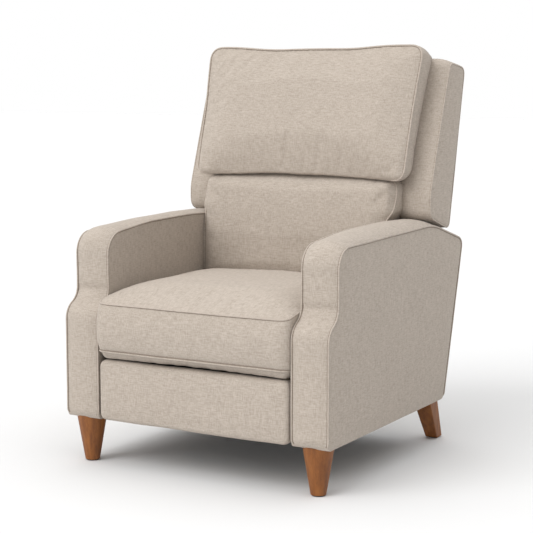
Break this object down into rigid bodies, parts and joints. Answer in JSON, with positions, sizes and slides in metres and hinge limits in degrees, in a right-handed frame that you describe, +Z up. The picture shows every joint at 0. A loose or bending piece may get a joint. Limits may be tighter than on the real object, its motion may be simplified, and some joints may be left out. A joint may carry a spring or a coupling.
{
  "type": "recliner armchair",
  "caption": "Push-back recliner with padded arms, T-shaped back with head pillow and lumbar cushion, sliding seat, scissor footrest and wooden legs.",
  "frame": {"origin": "on the floor, under the middle of the chair's width and depth, upright and closed", "axes": "+X to the right as the chair is seen from its front, -Y towards the front, +Z up"},
  "size_m": [0.72, 0.764, 1.0161],
  "materials": {
    "upholstery": "matte woven",
    "foam_pad": "matte",
    "leg_wood": "satin varnish",
    "frame_wood": "sawn",
    "mechanism_steel": "satin black",
    "zinc_wire": "satin",
    "dust_cloth": "matte",
    "webbing": "matte woven",
    "glide_plastic": "matte"
  },
  "bodies": {
    "base": {"arm_bottom_rails": "frame_wood", "arm_boxing_left": "upholstery", "arm_boxing_right": "upholstery", "arm_front_posts": "frame_wood", "arm_inner_side_left": "upholstery", "arm_inner_side_right": "upholstery", "arm_outer_side_left": "upholstery", "arm_outer_side_right": "upholstery", "arm_rear_posts": "frame_wood", "arm_top_rails": "frame_wood", "base_front_rail": "frame_wood", "base_plate_left": "mechanism_steel", "base_plate_right": "mechanism_steel", "base_rear_rail": "frame_wood", "dust_cover": "dust_cloth", "front_leg_left": "leg_wood", "front_leg_right": "leg_wood", "leg_bolts": "zinc_wire", "leg_glides": "glide_plastic", "rear_leg_left": "leg_wood", "rear_leg_right": "leg_wood", "rear_skirt": "upholstery"},
    "seat": {"seat_plate_left": "mechanism_steel", "seat_plate_right": "mechanism_steel", "carriage_cross_tube": "mechanism_steel", "seat_side_rail_left": "frame_wood", "seat_side_rail_right": "frame_wood", "seat_front_rail": "frame_wood", "seat_rear_rail": "frame_wood", "seat_springs": "zinc_wire", "seat_deck_cloth": "dust_cloth", "seat_cushion": "upholstery"},
    "back": {"back_post_left": "frame_wood", "back_post_right": "frame_wood", "back_top_rail": "frame_wood", "back_bottom_rail": "frame_wood", "back_webbing": "webbing", "back_brackets": "mechanism_steel", "outer_back": "upholstery", "back_core_pad": "foam_pad", "back_wing_left": "upholstery", "back_wing_right": "upholstery", "lumbar_cushion": "upholstery", "head_pillow": "upholstery"},
    "footrest": {"footrest_pad": "upholstery", "footrest_board": "frame_wood", "footrest_brackets": "mechanism_steel"},
    "falling_bar_1_left": {"scissor_falling_bar_1_left": "mechanism_steel"},
    "rising_bar_1_left": {"scissor_rising_bar_1_left": "mechanism_steel"},
    "falling_bar_2_left": {"scissor_falling_bar_2_left": "mechanism_steel"},
    "rising_bar_2_left": {"scissor_rising_bar_2_left": "mechanism_steel"},
    "falling_bar_3_left": {"scissor_falling_bar_3_left": "mechanism_steel"},
    "rising_bar_3_left": {"scissor_rising_bar_3_left": "mechanism_steel"},
    "falling_bar_1_right": {"scissor_falling_bar_1_right": "mechanism_steel"},
    "rising_bar_1_right": {"scissor_rising_bar_1_right": "mechanism_steel"},
    "falling_bar_2_right": {"scissor_falling_bar_2_right": "mechanism_steel"},
    "rising_bar_2_right": {"scissor_rising_bar_2_right": "mechanism_steel"},
    "falling_bar_3_right": {"scissor_falling_bar_3_right": "mechanism_steel"},
    "rising_bar_3_right": {"scissor_rising_bar_3_right": "mechanism_steel"}
  },
  "joints": [
    {"name": "back_recline", "type": "hinge", "parent": "base", "child": "back", "pos_m": [0, 0.25, 0.3], "axis": [-1, 0, 0], "range_deg": [0, 26]},
    {"name": "seat_slide", "type": "slide", "parent": "base", "child": "seat", "axis": [0, -0.9903, 0.1392], "range_m": [0, 0.065]},
    {"name": "falling_bar_1_left_pivot", "type": "hinge", "parent": "seat", "child": "falling_bar_1_left", "pos_m": [-0.2531, -0.239, 0.227], "axis": [-1, 0, 0], "range_deg": [0, 64]},
    {"name": "rising_bar_1_left_pivot", "type": "hinge", "parent": "falling_bar_1_left", "child": "rising_bar_1_left", "pos_m": [-0.2495, -0.25333, 0.18014], "axis": [-1, 0, 0], "range_deg": [-128, 0]},
    {"name": "falling_bar_2_left_pivot", "type": "hinge", "parent": "rising_bar_1_left", "child": "falling_bar_2_left", "pos_m": [-0.2531, -0.26268, 0.22824], "axis": [-1, 0, 0], "range_deg": [0, 128]},
    {"name": "rising_bar_2_left_pivot", "type": "hinge", "parent": "falling_bar_2_left", "child": "rising_bar_2_left", "pos_m": [-0.2495, -0.277, 0.18138], "axis": [-1, 0, 0], "range_deg": [-128, 0]},
    {"name": "falling_bar_3_left_pivot", "type": "hinge", "parent": "rising_bar_2_left", "child": "falling_bar_3_left", "pos_m": [-0.2531, -0.28635, 0.22948], "axis": [-1, 0, 0], "range_deg": [0, 128]},
    {"name": "rising_bar_3_left_pivot", "type": "hinge", "parent": "falling_bar_3_left", "child": "rising_bar_3_left", "pos_m": [-0.2495, -0.30068, 0.18262], "axis": [-1, 0, 0], "range_deg": [-128, 0]},
    {"name": "falling_bar_1_right_pivot", "type": "hinge", "parent": "seat", "child": "falling_bar_1_right", "pos_m": [0.2531, -0.239, 0.227], "axis": [-1, 0, 0], "range_deg": [0, 64]},
    {"name": "rising_bar_1_right_pivot", "type": "hinge", "parent": "falling_bar_1_right", "child": "rising_bar_1_right", "pos_m": [0.2495, -0.25333, 0.18014], "axis": [-1, 0, 0], "range_deg": [-128, 0]},
    {"name": "falling_bar_2_right_pivot", "type": "hinge", "parent": "rising_bar_1_right", "child": "falling_bar_2_right", "pos_m": [0.2531, -0.26268, 0.22824], "axis": [-1, 0, 0], "range_deg": [0, 128]},
    {"name": "rising_bar_2_right_pivot", "type": "hinge", "parent": "falling_bar_2_right", "child": "rising_bar_2_right", "pos_m": [0.2495, -0.277, 0.18138], "axis": [-1, 0, 0], "range_deg": [-128, 0]},
    {"name": "falling_bar_3_right_pivot", "type": "hinge", "parent": "rising_bar_2_right", "child": "falling_bar_3_right", "pos_m": [0.2531, -0.28635, 0.22948], "axis": [-1, 0, 0], "range_deg": [0, 128]},
    {"name": "rising_bar_3_right_pivot", "type": "hinge", "parent": "falling_bar_3_right", "child": "rising_bar_3_right", "pos_m": [0.2495, -0.30068, 0.18262], "axis": [-1, 0, 0], "range_deg": [-128, 0]},
    {"name": "footrest_tilt", "type": "hinge", "parent": "rising_bar_3_left", "child": "footrest", "pos_m": [0, -0.31003, 0.23072], "axis": [-1, 0, 0], "range_deg": [0, 150]}
  ],
  "couplings": [
    {"joint": "seat_slide", "follows": "back_recline", "m_per_rad": 0.1432},
    {"joint": "falling_bar_1_left_pivot", "follows": "back_recline", "ratio": 2.4615},
    {"joint": "rising_bar_1_left_pivot", "follows": "back_recline", "ratio": -4.923},
    {"joint": "falling_bar_2_left_pivot", "follows": "back_recline", "ratio": 4.923},
    {"joint": "rising_bar_2_left_pivot", "follows": "back_recline", "ratio": -4.923},
    {"joint": "falling_bar_3_left_pivot", "follows": "back_recline", "ratio": 4.923},
    {"joint": "rising_bar_3_left_pivot", "follows": "back_recline", "ratio": -4.923},
    {"joint": "falling_bar_1_right_pivot", "follows": "back_recline", "ratio": 2.4615},
    {"joint": "rising_bar_1_right_pivot", "follows": "back_recline", "ratio": -4.923},
    {"joint": "falling_bar_2_right_pivot", "follows": "back_recline", "ratio": 4.923},
    {"joint": "rising_bar_2_right_pivot", "follows": "back_recline", "ratio": -4.923},
    {"joint": "falling_bar_3_right_pivot", "follows": "back_recline", "ratio": 4.923},
    {"joint": "rising_bar_3_right_pivot", "follows": "back_recline", "ratio": -4.923},
    {"joint": "footrest_tilt", "follows": "back_recline", "ratio": 5.769}
  ]
}
